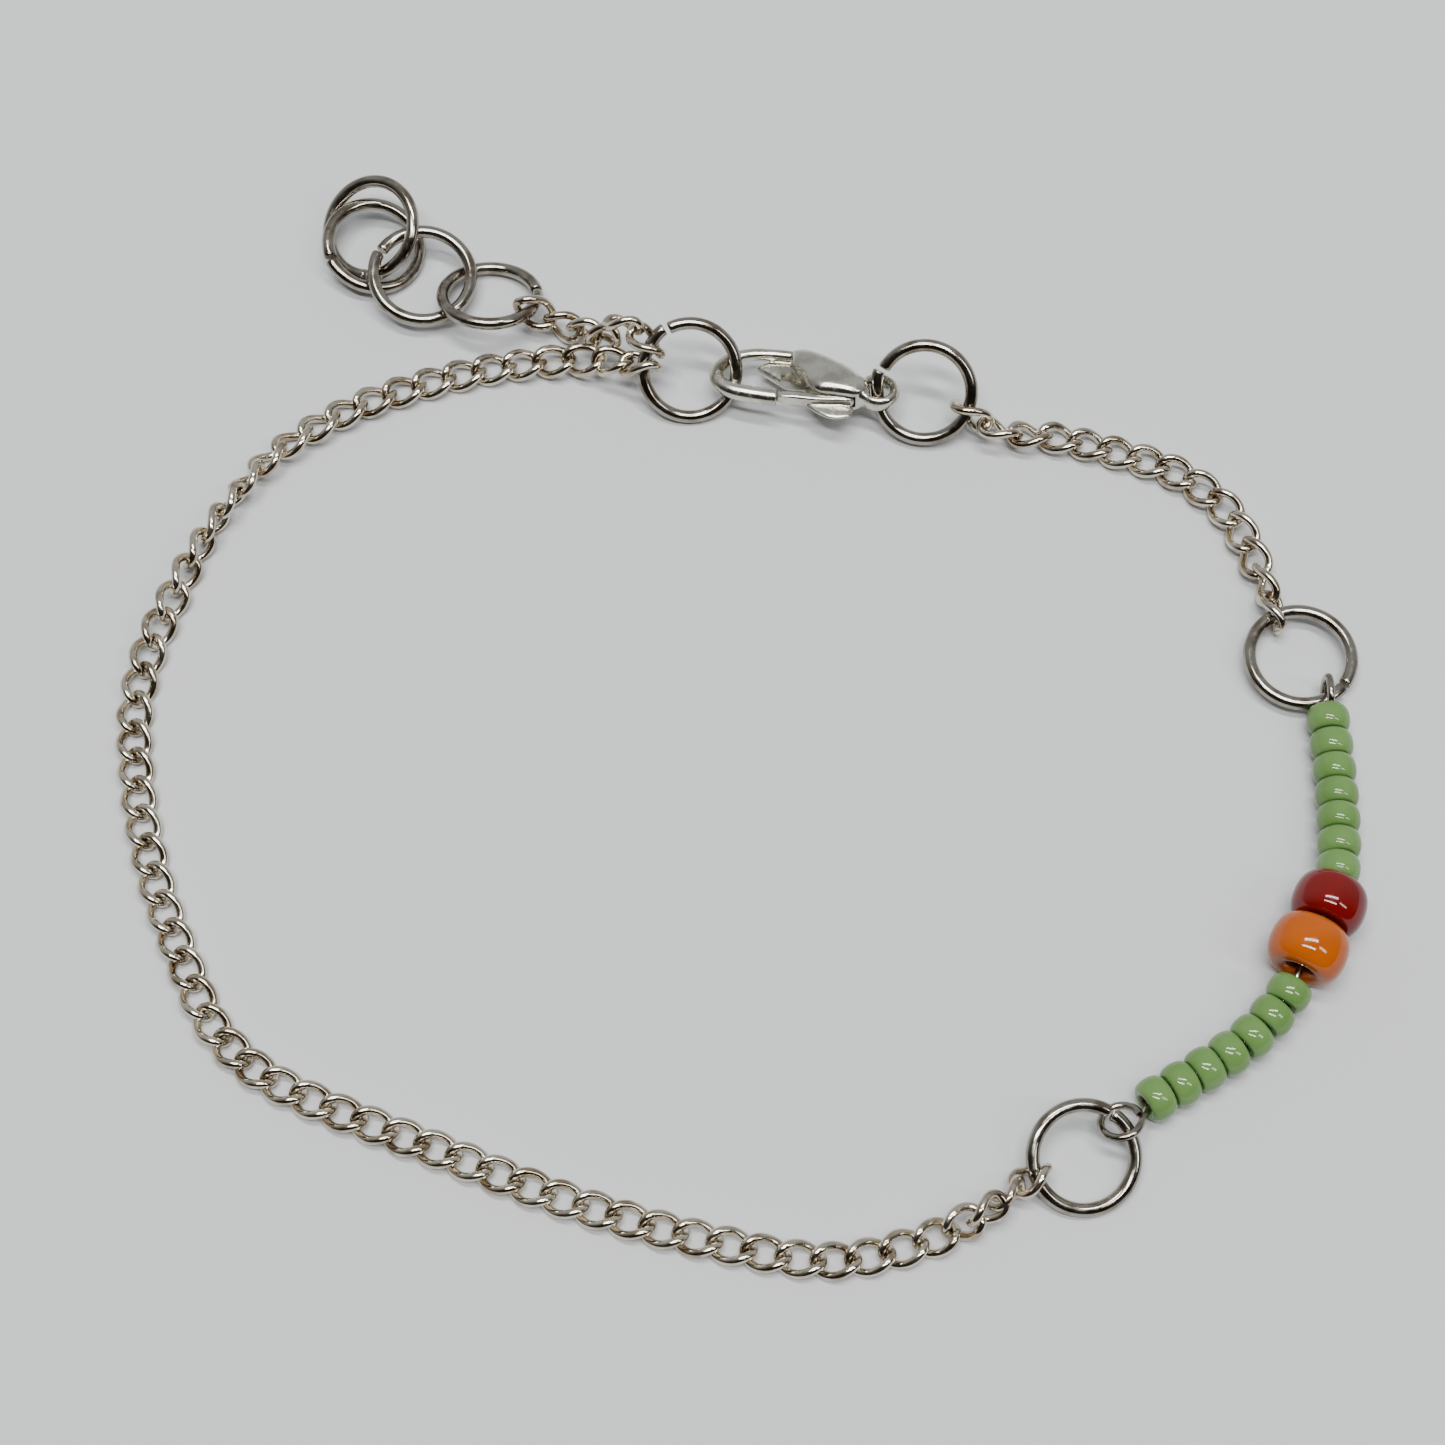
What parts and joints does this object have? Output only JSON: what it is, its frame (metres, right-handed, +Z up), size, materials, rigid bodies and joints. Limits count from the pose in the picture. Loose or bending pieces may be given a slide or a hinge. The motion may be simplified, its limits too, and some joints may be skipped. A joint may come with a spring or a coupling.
{
  "type": "seed bead bracelet",
  "caption": "Closed curb chain bracelet with a lobster clasp, an extender tail of jump rings, and one stretch of glass seed beads on a wire with a larger red and orange bead.",
  "frame": {"origin": "middle of the bracelet's outline on the table it lies on", "axes": "+X to the right along the longer side, +Y from the beads' lower end towards the clasp, +Z up from the table"},
  "size_m": [0.0646, 0.0626, 0.0043],
  "materials": {
    "chain_metal": "polished warm silver plate",
    "ring_metal": "polished dark antique nickel plate",
    "clasp_metal": "worn satin silver plate",
    "green_glass": "opaque glossy glass",
    "red_glass": "opaque glossy glass",
    "orange_glass": "opaque glossy glass"
  },
  "bodies": {
    "bracelet": {"ring_clasp_left": "ring_metal", "ring_clasp_right": "ring_metal", "ring_bead_top": "ring_metal", "ring_bead_bottom": "ring_metal", "ring_extender_1": "ring_metal", "ring_extender_2": "ring_metal", "ring_extender_3": "ring_metal", "ring_extender_4": "ring_metal", "chain_long": "chain_metal", "chain_short": "chain_metal", "chain_extender": "chain_metal", "bead_wire": "ring_metal", "bead_green_lower_1": "green_glass", "bead_green_lower_2": "green_glass", "bead_green_lower_3": "green_glass", "bead_green_lower_4": "green_glass", "bead_green_lower_5": "green_glass", "bead_green_lower_6": "green_glass", "bead_green_lower_7": "green_glass", "bead_green_upper_1": "green_glass", "bead_green_upper_2": "green_glass", "bead_green_upper_3": "green_glass", "bead_green_upper_4": "green_glass", "bead_green_upper_5": "green_glass", "bead_green_upper_6": "green_glass", "bead_green_upper_7": "green_glass", "bead_orange": "orange_glass", "bead_red": "red_glass", "clasp_body": "clasp_metal", "clasp_pin": "clasp_metal"},
    "lever": {"clasp_lever": "clasp_metal"}
  },
  "joints": [
    {"name": "lever_hinge", "type": "hinge", "parent": "bracelet", "child": "lever", "pos_m": [0.00576, 0.01737, 0.00199], "axis": [0.0061, -0.1757, -0.9844], "range_deg": [0, 25], "stiffness_Nm_per_rad": 0.000001, "springref_deg": -17.19}
  ]
}
